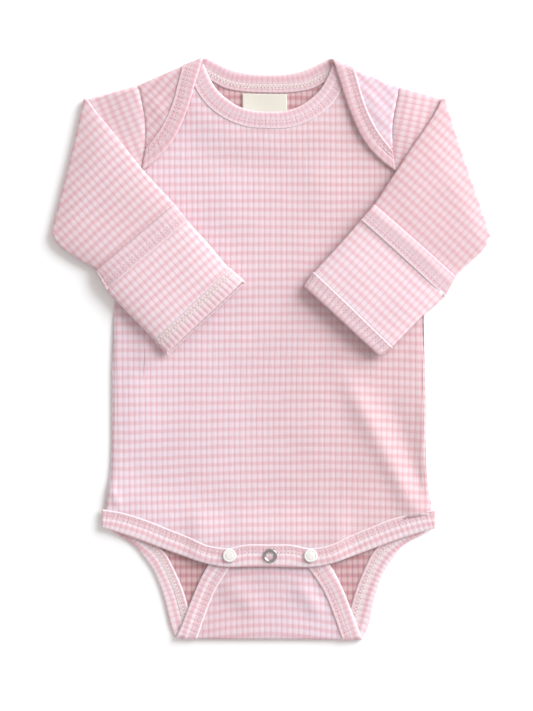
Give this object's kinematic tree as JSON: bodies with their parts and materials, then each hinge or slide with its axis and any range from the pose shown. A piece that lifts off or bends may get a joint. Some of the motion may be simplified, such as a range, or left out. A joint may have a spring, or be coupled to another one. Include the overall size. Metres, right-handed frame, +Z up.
{
  "type": "baby onesie",
  "caption": "Long-sleeve envelope-neck baby bodysuit in striped rib knit, laid flat, with fold-over mitten cuffs and a snapped crotch.",
  "frame": {"origin": "under the middle of the laid garment, on the surface it lies on", "axes": "+Y towards the neck, +X towards the garment's right-hand side as seen from above, +Z up from the surface"},
  "size_m": [0.2988, 0.3952, 0.0097],
  "materials": {
    "rib_knit": "matte cotton rib knit, pale pink and white stripes",
    "binding_knit": "matte cotton rib knit binding",
    "label_tape": "matte woven cotton tape, bare",
    "snap_white": "satin white enamel",
    "snap_metal": "satin nickel"
  },
  "bodies": {
    "root": {"back_panel": "rib_knit", "front_panel": "rib_knit", "neck_binding_back": "binding_knit", "neck_binding_front": "binding_knit", "hem_binding_front": "binding_knit", "leg_binding_left": "binding_knit", "leg_binding_right": "binding_knit", "sleeve_left": "rib_knit", "sleeve_right": "rib_knit", "mitten_left": "rib_knit", "mitten_right": "rib_knit", "mitten_binding_left": "binding_knit", "mitten_binding_right": "binding_knit", "cuff_binding_left": "binding_knit", "cuff_binding_right": "binding_knit", "label": "label_tape", "snap_left": "snap_white", "snap_centre": "snap_metal", "snap_right": "snap_white"}
  },
  "joints": []
}
